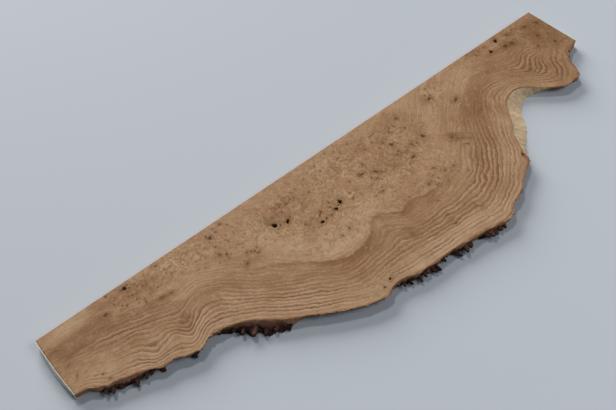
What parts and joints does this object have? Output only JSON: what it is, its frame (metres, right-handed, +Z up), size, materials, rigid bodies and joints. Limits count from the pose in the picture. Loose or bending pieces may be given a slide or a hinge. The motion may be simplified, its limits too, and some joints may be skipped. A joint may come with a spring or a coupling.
{
  "type": "ash burl slab",
  "caption": "Thin planed slab of ash burl with a straight sawn back edge, square ends and a natural bark-flecked front edge with a belly and a notch.",
  "frame": {"origin": "bottom centre of the whole slab's box, on the sawn underside", "axes": "+X along the straight sawn back edge, +Y towards that back edge, +Z up through the thickness"},
  "size_m": [0.6026, 0.1692, 0.008],
  "materials": {
    "burl_wood": "planed and fine-sanded bare wood, dark bark on the natural edge",
    "bark": "rough dry bark",
    "end_wax": "thin dull grey-white wax seal on the sawn ends"
  },
  "bodies": {
    "root": {"ash_burl": "burl_wood"}
  },
  "joints": []
}
